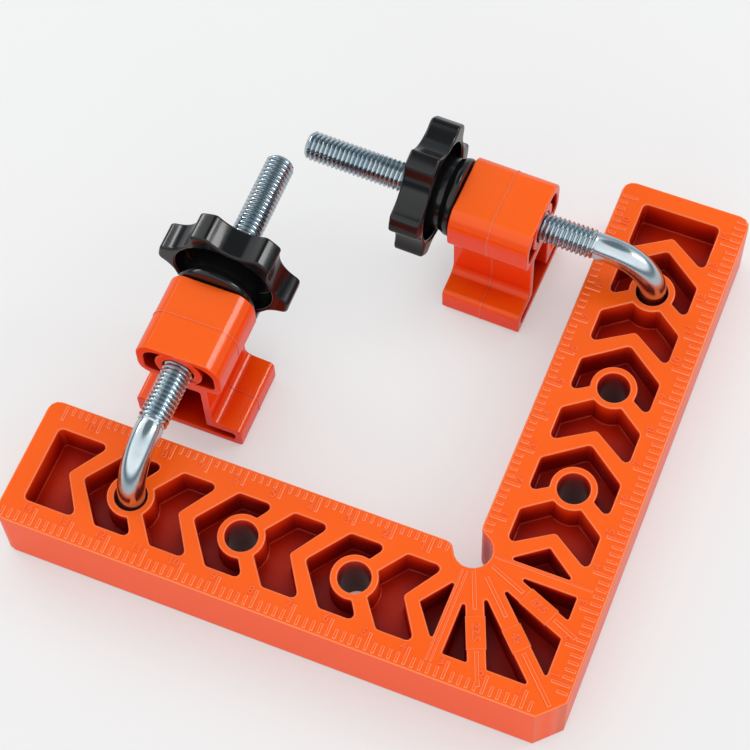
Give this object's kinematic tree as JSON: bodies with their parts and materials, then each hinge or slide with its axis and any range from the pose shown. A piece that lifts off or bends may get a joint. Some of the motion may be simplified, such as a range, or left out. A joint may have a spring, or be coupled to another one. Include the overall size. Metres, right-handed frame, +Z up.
{
  "type": "right-angle clamp",
  "caption": "Right-angle clamp: a moulded square with hook bolts whose sliding jaws and star knobs press boards against its inner faces.",
  "frame": {"origin": "middle of the 150 mm square that the two legs frame, on the table", "axes": "+Z up from the table, the left leg along the -Y side, the right leg along the +X side"},
  "size_m": [0.15, 0.15, 0.0503],
  "materials": {
    "square_plastic": "orange moulded plastic, satin",
    "block_plastic": "orange moulded plastic, satin",
    "knob_plastic": "black moulded plastic, glossy",
    "zinc_plate": "steel with bright blue zinc plate",
    "nut_steel": "plain steel"
  },
  "bodies": {
    "square": {"square_body": "square_plastic"},
    "left_hook": {"left_hook_bolt": "zinc_plate"},
    "left_jaw": {"left_clamp_block": "block_plastic"},
    "left_knob": {"left_star_knob": "knob_plastic", "left_knob_nut": "nut_steel"},
    "right_hook": {"right_hook_bolt": "zinc_plate"},
    "right_jaw": {"right_clamp_block": "block_plastic"},
    "right_knob": {"right_star_knob": "knob_plastic", "right_knob_nut": "nut_steel"}
  },
  "joints": [
    {"name": "left_hook_swivel", "type": "hinge", "parent": "square", "child": "left_hook", "pos_m": [-0.04445, -0.0575, 0], "axis": [0, 0, 1], "range_deg": [-8, 10]},
    {"name": "left_jaw_slide", "type": "slide", "parent": "left_hook", "child": "left_jaw", "axis": [0, 1, 0], "range_m": [-0.01, 0.015]},
    {"name": "left_knob_turn", "type": "hinge", "parent": "left_jaw", "child": "left_knob", "pos_m": [-0.04445, -0.004, 0.0322], "axis": [0, 1, 0], "range_deg": [-2880, 4320]},
    {"name": "right_hook_swivel", "type": "hinge", "parent": "square", "child": "right_hook", "pos_m": [0.0575, 0.04515, 0], "axis": [0, 0, 1], "range_deg": [-8.5, 1.5]},
    {"name": "right_jaw_slide", "type": "slide", "parent": "right_hook", "child": "right_jaw", "axis": [-0.9997, 0.0262, 0], "range_m": [-0.01, 0.015]},
    {"name": "right_knob_turn", "type": "hinge", "parent": "right_jaw", "child": "right_knob", "pos_m": [0.00402, 0.04655, 0.0322], "axis": [-0.9997, 0.0262, 0], "range_deg": [-2880, 4320]}
  ],
  "couplings": [
    {"joint": "left_knob_turn", "follows": "left_jaw_slide", "rad_per_m": 5026.5},
    {"joint": "right_knob_turn", "follows": "right_jaw_slide", "rad_per_m": 5026.5}
  ]
}
